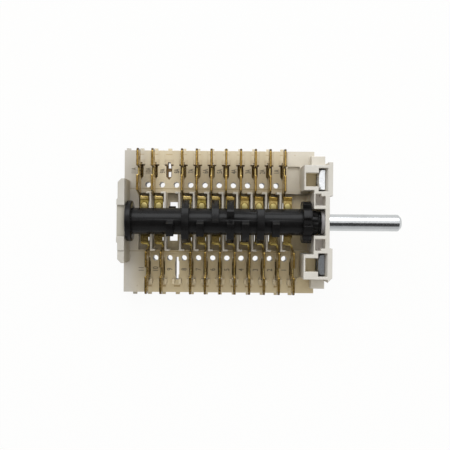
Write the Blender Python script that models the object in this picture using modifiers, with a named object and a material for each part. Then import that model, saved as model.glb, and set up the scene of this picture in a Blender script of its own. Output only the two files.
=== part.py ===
"""Rotary cam selector switch for a cooker, lying on its back.

The spindle points to +X, the terminals stick out to +Y and -Y, and the open side faces +Z.
Metres throughout. The origin is under the middle of the whole switch, at its lowest face.
"""

import math

import bmesh
import bpy
from mathutils import Matrix, Vector

# Clearances between pieces
RUNNING_GAP = 0.0003
FIT_GAP = 0.00015

# Contact places along the drum, numbered from the front; one is left empty
CONTACT_COUNT = 11
EMPTY_NUMBER = 9
CONTACT_PITCH = 0.0053
FIRST_CONTACT_INSET = 0.0055

# Spindle
SPINDLE_DIAMETER = 0.0060
SPINDLE_PROJECTION = 0.0249
SPINDLE_GRIP = 0.0300
SPINDLE_TIP_CHAMFER = 0.0010
SPINDLE_FLAT_THICKNESS = 0.0046
SPINDLE_FLAT_LENGTH = 0.0120

# Cam drum
BARREL_RADIUS = 0.00475
LOBE_RADIUS = 0.00775
LOBE_WIDTH = 0.0026
LOBE_RAMP_DEGREES = 12.0
JOURNAL_RADIUS = 0.0027
JOURNAL_LENGTH = 0.0020
FLANGE_INSET = 0.00045
FLANGE_THICKNESS = 0.0021
LAST_CONTACT_TO_STAR = 0.0043
STAR_INSET = 0.00015
STAR_TOOTH_DEPTH = 0.0014
STAR_THICKNESS = 0.0031
STAR_TEETH = 8
HUB_RADIUS = 0.00435
HUB_ROOT_RADIUS = 0.00385
HUB_LENGTH = 0.0028
HUB_TEETH = 10
EDGE_BREAK = 0.0003

# Cam lobes: for each contact number the arcs that press its blade, in degrees seen from the
# front, from the top of the drum towards -Y
LOBE_ARCS = {
    9: [(0, 50), (205, 232)],
    8: [(-97, 100)],
    7: [(0, 50)],
    6: [(-97, 0)],
    5: [(-97, -20), (0, 100)],
    4: [(0, 75)],
    3: [(-40, 100)],
    2: [(0, 50)],
}

# Housing: base plate and rear wall
BASE_THICKNESS = 0.0057
BASE_HALF_WIDTH = 0.0263
BASE_REAR_INSET = 0.0007
BASE_FRONT_INSET = 0.0022
WALL_ABOVE_AXIS = 0.0046
REAR_WALL = 0.0028
REAR_WALL_HALF_WIDTH = 0.0149
REAR_CORNER_CUT = 0.0013
REAR_PAD_PROUD = 0.0004
REAR_PAD_HALF_WIDTH = 0.0075
REAR_NOTCH_HALF_WIDTH = 0.0055
REAR_NOTCH_DEPTH = 0.0008
REAR_NOTCH_FALL = 0.0005
REAR_STEP_REACH = 0.0105
REAR_STEP_DEPTH = 0.0004

# Housing: contact chambers under the drum
CHAMBER_HALF_LENGTH = 0.0106
CHAMBER_DEPTH = 0.0027
WINDOW_WIDTH = 0.0030
WINDOW_HALF_LENGTH = 0.0073
RIB_WIDTH = 0.00075
RIB_PROUD = 0.0038
RIB_REACH = 0.0109
RIB_SHIFT = 0.00018
RIB_ARM_LENGTH = 0.0012

# Housing: terminal rows outside the chambers
ROW_OFFSET = 0.00165
HOLE_DIAMETER = 0.0021
HOLE_REACH = 0.0136
HOLE_OFFSET = 0.0011
UPPER_SLOT_INNER = 0.0155
UPPER_SLOT_OUTER = 0.0220
LOWER_SLOT_INNER = 0.0132
LOWER_SLOT_OUTER = 0.0216
POCKET_WIDTH = 0.0022
POCKET_DEPTH = 0.0032
POCKET_OUTER = 0.0207
POCKET_POINT = 0.0013
LOWER_POCKET_WIDTH = 0.0016
LOWER_POCKET_INNER = 0.0148
LOWER_POCKET_OUTER = 0.0198
EMPTY_SLOT_BAR = 0.0012
GROOVE_WIDTH = 0.0034
GROOVE_BREADTH = 0.0005
GROOVE_DEPTH = 0.0015
CHANNEL_DEPTH = 0.0004
GUIDE_WIDTH = 0.0010
GUIDE_LENGTH = 0.0019
GUIDE_HEIGHT = 0.0032
GUIDE_REACH = 0.0211
PAD_SIZE = 0.0032
PAD_PROUD = 0.0003
FOOT_WIDTH = 0.0015
FOOT_PROUD = 0.0012
FOOT_HEIGHT = 0.0016
UPPER_CORNER_FOOT = 0.0016
LOWER_CORNER_FOOT = 0.0044

# Housing: front wall and nut boxes
HUB_TO_FRONT_WALL = 0.0019
FRONT_WALL = 0.00155
BOSS_PROUD = 0.00105
BOSS_INNER = 0.0092
BOSS_OUTER = 0.0212
BOSS_CORNER_CUT = 0.0016
NUT_BOX_OUTER = 0.0201
NUT_BOX_INNER = 0.0113
NUT_BOX_LENGTH = 0.0101
SIDE_RIB_LENGTH = 0.0040
SIDE_RIB_WIDTH = 0.0012
SIDE_RIB_WALL = 0.0005
SIDE_POCKET_DEPTH = 0.0060
SIDE_POCKET_OUTER = 0.0100
HUB_SIDE_CLEARANCE = 0.00035
SIDE_BLOCK_LENGTH = 0.0053
SIDE_BLOCK_REACH = 0.0242
SIDE_BLOCK_HEIGHT = 0.0100
CORNER_RECESS_DEPTH = 0.0010
CORNER_RECESS_INNER = 0.0125
CORNER_RECESS_LOWER_INSET = 0.0029

# Captive square nuts and their pockets
NUT_SPACING = 0.0300
NUT_SIZE = 0.0070
NUT_THICKNESS = 0.0022
NUT_BORE = 0.0033
NUT_CORNER_RADIUS = 0.0047
NUT_SLOT_SIDE_PLAY = 0.0006
SCREW_HOLE = 0.0044
SCREW_POCKET_LENGTH = 0.0045
SCREW_POCKET_WIDTH = 0.0048
SLOT_FLARE = 0.0008
SLOT_FLARE_DEPTH = 0.0025

# Terminals and contact springs
TERMINAL_THICKNESS = 0.0008
TAB_WIDTH = 0.0063
TAB_STANDOFF = 0.0035
TAB_REACH = 0.0262
TAB_POINT = 0.0010
TAB_HOLE = 0.0016
TAB_HOLE_INSET = 0.0035
LEG_INSET = 0.0007
TAB_SHOULDER = 0.0110
SHOULDER_RUN = 0.0017
TAB_NOTCH_INSET = 0.0066
TAB_NOTCH_LENGTH = 0.0027
TAB_NOTCH_DEPTH = 0.0045
TONGUE_STANDOFF = 0.0007
TONGUE_THICKNESS = 0.00065
TONGUE_REACH = 0.0043
RIVET_REACH = 0.0057
HOOK_REACH = 0.0082
HOOK_RADIUS = 0.0009
HOOK_LENGTH = 0.0016
LEDGE_LENGTH = 0.0020
LEDGE_THICKNESS = 0.0005
BLADE_THICKNESS = 0.0003
BLADE_WIDTH = 0.0029
BLADE_HUMP_HALF_LENGTH = 0.0012
BLADE_HUMP_RISE = 0.0012
BLADE_TIP_OVERHANG = 0.0014

# Contact rivets
RIVET_HEAD_RADIUS = 0.00125
RIVET_HEAD_HEIGHT = 0.0004
RIVET_SHANK_RADIUS = 0.0006
CONTACT_GAP = 0.0005

# Detent under the star wheel
BALL_RADIUS = 0.0020
DETENT_BOSS_WALL = 0.0011
DETENT_FLOOR = 0.0008
DETENT_WIRE = 0.0004
DETENT_COIL_RADIUS = 0.0012
DETENT_PITCH = 0.00055

# Facets of round forms
ROUND_STEPS = 48
SMALL_ROUND_STEPS = 16
RIVET_STEPS = 12
MERGE_DISTANCE = 0.000001

# Faces of joined bodies are set apart by this much, so that none lie in one plane
SET_IN = 0.0001

# Stations along X, from the rear face of the switch
FLANGE_X = REAR_WALL + RUNNING_GAP
REAR_CONTACT_X = REAR_WALL + FIRST_CONTACT_INSET
FRONT_CONTACT_X = REAR_CONTACT_X + CONTACT_PITCH * (CONTACT_COUNT - 1)
STAR_X = FRONT_CONTACT_X + LAST_CONTACT_TO_STAR
STAR_END_X = STAR_X + STAR_THICKNESS
HUB_END_X = STAR_END_X + HUB_LENGTH
FRONT_WALL_X = HUB_END_X + HUB_TO_FRONT_WALL
FRONT_FACE_X = FRONT_WALL_X + FRONT_WALL
BOSS_FACE_X = FRONT_FACE_X + BOSS_PROUD
SPINDLE_TIP_X = BOSS_FACE_X + SPINDLE_PROJECTION
BASE_END_X = FRONT_WALL_X - BASE_FRONT_INSET
NUT_BOX_X = BOSS_FACE_X - NUT_BOX_LENGTH
SIDE_RIB_X = FRONT_WALL_X - SIDE_RIB_LENGTH
ORIGIN_X = SPINDLE_TIP_X / 2

# Heights and reaches that follow from the sizes above; the base carries the tongues, the
# tongues clear the lobes, and so the base sets the height of the axis
SPINDLE_RADIUS = SPINDLE_DIAMETER / 2
TONGUE_BOTTOM = BASE_THICKNESS + TONGUE_STANDOFF
TONGUE_TOP = TONGUE_BOTTOM + TONGUE_THICKNESS
AXIS_HEIGHT = TONGUE_TOP + RUNNING_GAP + LOBE_RADIUS
WALL_TOP = AXIS_HEIGHT + WALL_ABOVE_AXIS
CHAMBER_FLOOR = BASE_THICKNESS - CHAMBER_DEPTH
FLANGE_RADIUS = LOBE_RADIUS - FLANGE_INSET
STAR_RADIUS = LOBE_RADIUS - STAR_INSET
STAR_ROOT_RADIUS = STAR_RADIUS - STAR_TOOTH_DEPTH
TERMINAL_SLOT = TERMINAL_THICKNESS + 2 * FIT_GAP
CHAMBER_WIDTH = 2 * (ROW_OFFSET + TERMINAL_THICKNESS / 2 + FIT_GAP)
TAB_BOTTOM = BASE_THICKNESS + TAB_STANDOFF
TAB_TOP = TAB_BOTTOM + TAB_WIDTH
BLADE_TOP = TONGUE_TOP
FIXED_FACE = TONGUE_BOTTOM - FIT_GAP - RIVET_HEAD_HEIGHT
MOVING_FACE = FIXED_FACE - CONTACT_GAP
BLADE_TIP_TOP = MOVING_FACE - RIVET_HEAD_HEIGHT - FIT_GAP
BLADE_ROOT_TOP = BLADE_TOP - BLADE_HUMP_RISE
LEDGE_TOP = BLADE_ROOT_TOP - BLADE_THICKNESS - FIT_GAP
NUT_REACH = NUT_SPACING / 2
BALL_REST_Z = AXIS_HEIGHT - STAR_RADIUS - RUNNING_GAP - BALL_RADIUS
STAR_MID_X = STAR_X + STAR_THICKNESS / 2


def start_scene():
    """Empty scene with one collection for the pieces and one for the cutters."""
    for old in list(bpy.data.objects):
        bpy.data.objects.remove(old)
    pieces = bpy.data.collections.new("cam_switch")
    tools = bpy.data.collections.new("cutters")
    bpy.context.scene.collection.children.link(pieces)
    bpy.context.scene.collection.children.link(tools)
    return pieces, tools


PIECES, TOOLS = start_scene()


def along(x):
    """World X of a station that is measured from the rear face."""
    return x - ORIGIN_X


def contact_x(number):
    """Station of a contact place; the highest number is at the rear."""
    return REAR_CONTACT_X + CONTACT_PITCH * (CONTACT_COUNT - number)


def contact_numbers():
    """The numbers of the places that hold a contact."""
    return [number for number in range(1, CONTACT_COUNT + 1) if number != EMPTY_NUMBER]


def material(name, colour, roughness, metallic=0.0):
    """A plain Principled material."""
    made = bpy.data.materials.new(name)
    made.use_nodes = True
    shader = made.node_tree.nodes["Principled BSDF"]
    shader.inputs["Base Color"].default_value = (*colour, 1.0)
    shader.inputs["Roughness"].default_value = roughness
    shader.inputs["Metallic"].default_value = metallic
    made.diffuse_color = (*colour, 1.0)
    return made


def box(x, y, z):
    """A box as a bmesh, each side given as a low and high value."""
    made = bmesh.new()
    bmesh.ops.create_cube(made, size=1.0)
    size = [high - low for low, high in (x, y, z)]
    middle = [(high + low) / 2 for low, high in (x, y, z)]
    bmesh.ops.scale(made, vec=size, verts=made.verts)
    bmesh.ops.translate(made, vec=middle, verts=made.verts)
    return made


def rod(x, y, z, radius, axis, steps=SMALL_ROUND_STEPS):
    """A round bar along axis; the side along that axis is a low and high value, the others one."""
    spans = {"X": x, "Y": y, "Z": z}
    low, high = spans[axis]
    spans[axis] = (low + high) / 2
    made = bmesh.new()
    bmesh.ops.create_cone(made, cap_ends=True, segments=steps, radius1=radius, radius2=radius,
                          depth=high - low)
    turn = {"X": Matrix.Rotation(math.pi / 2, 4, "Y"), "Y": Matrix.Rotation(math.pi / 2, 4, "X"),
            "Z": Matrix.Identity(4)}[axis]
    place = Matrix.Translation((spans["X"], spans["Y"], spans["Z"]))
    bmesh.ops.transform(made, matrix=place @ turn, verts=made.verts)
    return made


def plate(outline, axis, span):
    """A flat outline given thickness along axis between two values: a filled, extruded 2D curve.

    The outline's pairs are (y, z) for axis X, (x, z) for axis Y and (x, y) for axis Z.
    """
    low, high = span
    curve = bpy.data.curves.new("outline", "CURVE")
    curve.dimensions = "2D"
    curve.fill_mode = "BOTH"
    curve.extrude = (high - low) / 2
    spline = curve.splines.new("POLY")
    spline.points.add(len(outline) - 1)
    for point, (u, v) in zip(spline.points, outline):
        point.co = (u, v, 0.0, 1.0)
    spline.use_cyclic_u = True
    holder = bpy.data.objects.new("outline", curve)
    mesh = bpy.data.meshes.new_from_object(holder)
    bpy.data.objects.remove(holder)
    bpy.data.curves.remove(curve)
    made = bmesh.new()
    made.from_mesh(mesh)
    bpy.data.meshes.remove(mesh)
    bmesh.ops.remove_doubles(made, verts=made.verts, dist=MERGE_DISTANCE)
    bmesh.ops.recalc_face_normals(made, faces=made.faces)
    middle = (low + high) / 2
    frame = {"X": Matrix(((0, 0, 1, middle), (1, 0, 0, 0), (0, 1, 0, 0), (0, 0, 0, 1))),
             "Y": Matrix(((1, 0, 0, 0), (0, 0, -1, middle), (0, 1, 0, 0), (0, 0, 0, 1))),
             "Z": Matrix.Translation((0, 0, middle))}[axis]
    bmesh.ops.transform(made, matrix=frame, verts=made.verts)
    return made


def mesh_of(name, bodies):
    """One mesh from several bmesh bodies that don't meet."""
    whole = bmesh.new()
    for body in bodies:
        copy = bpy.data.meshes.new("body")
        body.to_mesh(copy)
        body.free()
        whole.from_mesh(copy)
        bpy.data.meshes.remove(copy)
    mesh = bpy.data.meshes.new(name)
    whole.to_mesh(mesh)
    whole.free()
    return mesh


def piece(name, mesh, finish, place=(0, 0, 0)):
    """A visible piece of the switch."""
    made = bpy.data.objects.new(name, mesh)
    made.location = place
    if not mesh.materials:
        mesh.materials.append(finish)
    PIECES.objects.link(made)
    return made


def tool(name, bodies, place=(0, 0, 0)):
    """A hidden body that a Boolean joins to a piece or cuts from it."""
    made = bpy.data.objects.new(name, mesh_of(name, bodies))
    made.location = place
    made.hide_render = True
    made.display_type = "WIRE"
    TOOLS.objects.link(made)
    return made


def combine(target, operation, shape, solver="EXACT"):
    """Join a tool to a piece, or cut it from the piece."""
    step = target.modifiers.new(shape.name, "BOOLEAN")
    step.operation = operation
    step.solver = solver
    step.object = shape


def join(target, name, bodies):
    """Join bodies to a piece; the exact solver fails on these, the one for closed meshes holds."""
    combine(target, "UNION", tool(name, bodies), "MANIFOLD")


def cut(target, name, bodies):
    """Cut bodies from a piece in the same way."""
    combine(target, "DIFFERENCE", tool(name, bodies), "MANIFOLD")


def turned(name, profile, finish, steps, place, point_to_front=False):
    """A turned piece: a profile of (radius, height) pairs, top first, with a Screw modifier."""
    outline = bmesh.new()
    points = [outline.verts.new((radius, 0.0, height)) for radius, height in profile]
    for first, second in zip(points, points[1:]):
        outline.edges.new((first, second))
    mesh = bpy.data.meshes.new(name)
    outline.to_mesh(mesh)
    outline.free()
    made = piece(name, mesh, finish, place)
    if point_to_front:
        made.rotation_euler = (0.0, math.pi / 2, 0.0)
    add_screw(made, steps)
    return made


def add_screw(made, steps):
    """The full turn that makes a profile a solid."""
    turn = made.modifiers.new("turned", "SCREW")
    turn.axis = "Z"
    turn.angle = 2 * math.pi
    turn.steps = steps
    turn.render_steps = steps
    turn.use_merge_vertices = True
    turn.merge_threshold = MERGE_DISTANCE
    turn.use_smooth_shade = False


def finished_mesh(made):
    """The mesh of a piece with its modifiers applied, for copies that share it."""
    bpy.context.view_layer.update()
    evaluated = made.evaluated_get(bpy.context.evaluated_depsgraph_get())
    mesh = bpy.data.meshes.new_from_object(evaluated)
    mesh.name = made.name + "_mesh"
    return mesh


def arc(centre, radius, start, end, steps):
    """Points on an arc, angles in degrees."""
    angles = [math.radians(start + (end - start) * i / steps) for i in range(steps + 1)]
    return [(centre[0] + radius * math.cos(a), centre[1] + radius * math.sin(a)) for a in angles]


def band(path, width):
    """The outline of a strip of even width that follows a path, with mitred bends."""
    points = [Vector(point) for point in path]
    left = []
    right = []
    for i, point in enumerate(points):
        before = (point - points[i - 1]).normalized() if i else None
        after = (points[i + 1] - point).normalized() if i < len(points) - 1 else None
        first = before or after
        second = after or before
        normal = Vector((-first.y - second.y, first.x + second.x)).normalized()
        reach = width / 2 / max(0.2, normal.dot(Vector((-first.y, first.x))))
        left.append(tuple(point + normal * reach))
        right.append(tuple(point - normal * reach))
    return left + right[::-1]


def mirrored(outline):
    """An (x, y) outline turned over to the -Y side, still counter-clockwise."""
    return [(x, -y) for x, y in reversed(outline)]


def place_outline(outline):
    """An outline in stations moved to world X."""
    return [(along(x), y) for x, y in outline]


def base_outline():
    """Plan of the base plate: the wide plate and the narrower run under the front wall."""
    rear = BASE_REAR_INSET
    corner = [(BASE_END_X, BASE_HALF_WIDTH), (rear, BASE_HALF_WIDTH)]
    run_half = NUT_BOX_OUTER - SET_IN
    front = [(FRONT_FACE_X - SET_IN, run_half), (BASE_END_X, run_half)]
    upper = front + corner
    return place_outline(mirrored(upper) + upper)


def rear_wall_outline():
    """Plan of the rear wall: cut corners and a pad that stands proud of its outer face."""
    face = REAR_PAD_PROUD
    upper = [
        (REAR_WALL, REAR_WALL_HALF_WIDTH),
        (face + REAR_CORNER_CUT, REAR_WALL_HALF_WIDTH),
        (face, REAR_WALL_HALF_WIDTH - REAR_CORNER_CUT),
        (face, REAR_PAD_HALF_WIDTH + REAR_PAD_PROUD),
        (0.0, REAR_PAD_HALF_WIDTH),
    ]
    return place_outline(mirrored(upper) + upper)


def front_outline():
    """Plan of the front wall with its two nut boxes, the boss plates and the ribs by the hub."""
    hub_side = HUB_RADIUS + HUB_SIDE_CLEARANCE
    upper = [
        (FRONT_FACE_X, BOSS_INNER),
        (BOSS_FACE_X, BOSS_INNER),
        (BOSS_FACE_X, BOSS_OUTER),
        (FRONT_FACE_X - BOSS_PROUD / 2, BOSS_OUTER),
        (FRONT_FACE_X - BOSS_PROUD / 2, NUT_BOX_OUTER),
        (NUT_BOX_X, NUT_BOX_OUTER),
        (NUT_BOX_X, NUT_BOX_INNER),
        (SIDE_RIB_X, NUT_BOX_INNER),
        (SIDE_RIB_X, hub_side),
        (FRONT_WALL_X, hub_side),
    ]
    lower = mirrored(upper)
    corner = lower.index((BOSS_FACE_X, -BOSS_OUTER))
    lower[corner:corner + 1] = [(BOSS_FACE_X - BOSS_CORNER_CUT, -BOSS_OUTER),
                                (BOSS_FACE_X, -BOSS_OUTER + BOSS_CORNER_CUT)]
    return place_outline(lower + upper)


def feet(side):
    """Small feet at the plate's edge, under the tabs of one row and at its rear corner."""
    made = []
    reach = sorted((side * (BASE_HALF_WIDTH - FOOT_PROUD), side * (BASE_HALF_WIDTH + FOOT_PROUD)))
    corner = UPPER_CORNER_FOOT if side > 0 else LOWER_CORNER_FOOT
    row = [along(contact_x(number)) - side * ROW_OFFSET for number in range(1, CONTACT_COUNT + 1)]
    for middle in [along(corner)] + row:
        made.append(box((middle - FOOT_WIDTH / 2, middle + FOOT_WIDTH / 2), reach,
                        (SET_IN, FOOT_HEIGHT)))
    return made


def ribs():
    """Tall walls between the chambers, stepped in plan, each with an arm at either end."""
    made = []
    inner = RIB_REACH - RIB_WIDTH
    half = RIB_WIDTH / 2
    for number in range(1, CONTACT_COUNT):
        middle = along(contact_x(number)) - CONTACT_PITCH / 2
        lower = middle + RIB_SHIFT
        upper = middle - RIB_SHIFT
        front_arm = lower + half + RIB_ARM_LENGTH
        rear_arm = upper - half - RIB_ARM_LENGTH
        outline = [
            (lower - half, -RIB_REACH), (front_arm, -RIB_REACH), (front_arm, -inner),
            (lower + half, -inner), (lower + half, 0.0), (upper + half, 0.0), (upper + half, RIB_REACH),
            (rear_arm, RIB_REACH), (rear_arm, inner), (upper - half, inner), (upper - half, 0.0),
            (lower - half, 0.0),
        ]
        made.append(plate(outline, "Z", (CHAMBER_FLOOR / 2, BASE_THICKNESS + RIB_PROUD)))
    return made


def guides():
    """Pairs of small blocks that steady the tabs of the lower row."""
    made = []
    for number in range(1, CONTACT_COUNT + 1):
        middle = along(contact_x(number)) + ROW_OFFSET
        for side in (-1, 1):
            near = middle + side * (TERMINAL_SLOT / 2 + FIT_GAP)
            far = near + side * GUIDE_WIDTH
            reach = (-GUIDE_REACH - GUIDE_LENGTH, -GUIDE_REACH)
            made.append(box(sorted((near, far)), reach,
                            (BASE_THICKNESS / 2, BASE_THICKNESS + GUIDE_HEIGHT)))
    return made


def pads():
    """Square pads round the holes of the lower row."""
    made = []
    for number in range(1, CONTACT_COUNT):
        middle = along(contact_x(number)) - HOLE_OFFSET
        half = PAD_SIZE / 2
        made.append(box((middle - half, middle + half), (-HOLE_REACH - half, -HOLE_REACH + half),
                        (BASE_THICKNESS / 2, BASE_THICKNESS + PAD_PROUD)))
    return made


def side_blocks():
    """Low blocks outside the nut boxes."""
    low = FRONT_FACE_X - SIDE_BLOCK_LENGTH
    made = []
    for side in (-1, 1):
        reach = sorted((side * (NUT_BOX_OUTER - RIB_WIDTH), side * SIDE_BLOCK_REACH))
        made.append(box((along(low), along(FRONT_FACE_X - EDGE_BREAK)), reach,
                        (2 * SET_IN, SIDE_BLOCK_HEIGHT)))
    return made


def chamber_cuts():
    """Recesses of the contact chambers."""
    half = CHAMBER_WIDTH / 2
    made = []
    for number in range(1, CONTACT_COUNT + 1):
        middle = along(contact_x(number))
        made.append(box((middle - half, middle + half), (-CHAMBER_HALF_LENGTH, CHAMBER_HALF_LENGTH),
                        (CHAMBER_FLOOR, WALL_TOP)))
    return made


def window_cuts():
    """Windows through the chamber floors."""
    half = WINDOW_WIDTH / 2
    made = []
    for number in range(1, CONTACT_COUNT + 1):
        middle = along(contact_x(number))
        made.append(box((middle - half, middle + half), (-WINDOW_HALF_LENGTH, WINDOW_HALF_LENGTH),
                        (-BASE_THICKNESS, BASE_THICKNESS)))
    return made


def hole_cuts():
    """Round holes through the base between the terminals."""
    made = []
    depth = (-BASE_THICKNESS, 2 * BASE_THICKNESS)
    for number in range(1, CONTACT_COUNT):
        lower = along(contact_x(number)) - HOLE_OFFSET
        upper = along(contact_x(number + 1)) + HOLE_OFFSET
        made.append(rod(upper, HOLE_REACH, depth, HOLE_DIAMETER / 2, "Z"))
        made.append(rod(lower, -HOLE_REACH, depth, HOLE_DIAMETER / 2, "Z"))
    return made


def slot_cuts():
    """Slots through the base for the legs of the terminals."""
    half = TERMINAL_SLOT / 2
    depth = (-BASE_THICKNESS, 2 * BASE_THICKNESS)
    made = []
    for number in range(1, CONTACT_COUNT + 1):
        upper = along(contact_x(number)) - ROW_OFFSET
        lower = along(contact_x(number)) + ROW_OFFSET
        spans = [(UPPER_SLOT_INNER, UPPER_SLOT_OUTER)]
        if number == EMPTY_NUMBER:
            bar = (UPPER_SLOT_INNER + EMPTY_SLOT_BAR + UPPER_SLOT_OUTER) / 2
            spans = [(UPPER_SLOT_INNER + EMPTY_SLOT_BAR, bar - EMPTY_SLOT_BAR / 2),
                     (bar + EMPTY_SLOT_BAR / 2, UPPER_SLOT_OUTER)]
        for span in spans:
            made.append(box((upper - half, upper + half), span, depth))
        made.append(box((lower - half, lower + half), (-LOWER_SLOT_OUTER, -LOWER_SLOT_INNER), depth))
    return made


def pocket_cuts():
    """Pockets round the legs: pointed at the inner end in the upper row, narrow in the lower one."""
    half = POCKET_WIDTH / 2
    narrow = LOWER_POCKET_WIDTH / 2
    floor = BASE_THICKNESS - POCKET_DEPTH
    point = UPPER_SLOT_INNER - FIT_GAP
    made = []
    for number in range(1, CONTACT_COUNT + 1):
        middle = along(contact_x(number)) - ROW_OFFSET
        outline = [
            (middle - half, POCKET_OUTER), (middle - half, point + POCKET_POINT), (middle, point),
            (middle + half, point + POCKET_POINT), (middle + half, POCKET_OUTER),
        ]
        made.append(plate(outline, "Z", (floor, 2 * BASE_THICKNESS)))
        lower = along(contact_x(number)) + ROW_OFFSET
        made.append(box((lower - narrow, lower + narrow), (-LOWER_POCKET_OUTER, -LOWER_POCKET_INNER),
                        (floor, 2 * BASE_THICKNESS)))
    return made


def groove_cuts():
    """Cross grooves at the outer end of each upper pocket."""
    half = GROOVE_WIDTH / 2 - SET_IN
    made = []
    for number in range(1, CONTACT_COUNT + 1):
        middle = along(contact_x(number)) - ROW_OFFSET
        made.append(box((middle - half, middle + half),
                        (POCKET_OUTER - EDGE_BREAK / 3, POCKET_OUTER + GROOVE_BREADTH),
                        (BASE_THICKNESS - GROOVE_DEPTH, 2 * BASE_THICKNESS)))
    return made


def channel_cuts():
    """Shallow channels under the upper tabs, open at the plate's edge."""
    half = GROOVE_WIDTH / 2
    made = []
    for number in range(1, CONTACT_COUNT + 1):
        middle = along(contact_x(number)) - ROW_OFFSET
        made.append(box((middle - half, middle + half),
                        (POCKET_OUTER + GROOVE_BREADTH / 2, 2 * BASE_HALF_WIDTH),
                        (BASE_THICKNESS - CHANNEL_DEPTH, 2 * BASE_THICKNESS)))
    return made


def star_bay_cut():
    """The bay under the star wheel and the hub, from the first chamber to the front wall."""
    half = CHAMBER_WIDTH / 2
    rear = FRONT_CONTACT_X + half - EDGE_BREAK
    hub_side = HUB_RADIUS + HUB_SIDE_CLEARANCE
    upper = [
        (FRONT_WALL_X - SET_IN, hub_side - SET_IN), (SIDE_RIB_X - SET_IN, hub_side - SET_IN),
        (SIDE_RIB_X - SET_IN, CHAMBER_HALF_LENGTH - SET_IN), (rear, CHAMBER_HALF_LENGTH - SET_IN),
    ]
    outline = place_outline(mirrored(upper) + upper)
    return plate(outline, "Z", (CHAMBER_FLOOR - SET_IN, 2 * WALL_TOP))


def corner_recess_cuts():
    """Shallow recesses in the base between the last contact and the nut boxes."""
    made = []
    starts = {1: FRONT_CONTACT_X, -1: FRONT_CONTACT_X + CORNER_RECESS_LOWER_INSET}
    for side, start in starts.items():
        reach = sorted((side * CORNER_RECESS_INNER, side * POCKET_OUTER))
        made.append(box((along(start), along(NUT_BOX_X - SET_IN)), reach,
                        (BASE_THICKNESS - CORNER_RECESS_DEPTH, 2 * BASE_THICKNESS)))
    return made


def rear_wall_cuts():
    """Bearing hole, the sloped notch over it and the low step at one end of the rear wall."""
    bearing = rod((along(REAR_WALL - JOURNAL_LENGTH), along(REAR_WALL + EDGE_BREAK)), 0.0,
                  AXIS_HEIGHT, JOURNAL_RADIUS + RUNNING_GAP, "X", ROUND_STEPS // 2)
    rear = along(-REAR_WALL)
    front = along(2 * REAR_WALL)
    slope = REAR_NOTCH_FALL / REAR_WALL
    start = WALL_TOP - REAR_NOTCH_DEPTH
    notch = plate([(rear, start + slope * REAR_WALL), (front, start - slope * 2 * REAR_WALL),
                   (front, 2 * WALL_TOP), (rear, 2 * WALL_TOP)],
                  "Y", (-REAR_NOTCH_HALF_WIDTH, REAR_NOTCH_HALF_WIDTH))
    step = box((rear, front), (-2 * REAR_WALL_HALF_WIDTH, -REAR_STEP_REACH),
               (WALL_TOP - REAR_STEP_DEPTH, 2 * WALL_TOP))
    return [bearing, notch, step]


def nut_cuts(side):
    """Slot for a nut, pocket for the screw's end and the screw hole of one nut box."""
    nut_front = along(FRONT_WALL_X) + EDGE_BREAK / 3
    nut_rear = nut_front - NUT_THICKNESS - 2 * FIT_GAP
    floor = AXIS_HEIGHT - NUT_SIZE / 2 - RUNNING_GAP
    middle = side * NUT_REACH
    half = NUT_SIZE / 2 + NUT_SLOT_SIDE_PLAY
    over = 2 * WALL_TOP
    slot = plate([(nut_rear, floor), (nut_front, floor), (nut_front, WALL_TOP - SLOT_FLARE_DEPTH),
                  (nut_front + SLOT_FLARE, WALL_TOP), (nut_front + SLOT_FLARE, over), (nut_rear, over)],
                 "Y", (middle - half, middle + half))
    pocket = box((nut_rear - SCREW_POCKET_LENGTH, nut_rear + FIT_GAP),
                 (middle - SCREW_POCKET_WIDTH / 2, middle + SCREW_POCKET_WIDTH / 2),
                 (AXIS_HEIGHT - SCREW_POCKET_WIDTH / 2, over))
    hole = rod((nut_front - FIT_GAP, along(BOSS_FACE_X + BOSS_PROUD)), middle, AXIS_HEIGHT,
               SCREW_HOLE / 2, "X")
    return slot, pocket, hole


def side_pocket_cut(side):
    """Small stepped pocket between a nut box and the rib beside the hub."""
    inner = HUB_RADIUS + HUB_SIDE_CLEARANCE + SIDE_RIB_WIDTH
    rear = SIDE_RIB_X + SIDE_RIB_WALL
    step = rear + SIDE_RIB_LENGTH / 2
    upper = [
        (FRONT_WALL_X, inner), (FRONT_WALL_X, BOSS_INNER), (step, BOSS_INNER),
        (step, SIDE_POCKET_OUTER), (rear, SIDE_POCKET_OUTER), (rear, inner),
    ]
    outline = upper if side > 0 else mirrored(upper)
    return plate(place_outline(outline), "Z", (WALL_TOP - SIDE_POCKET_DEPTH, 2 * WALL_TOP))


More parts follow.
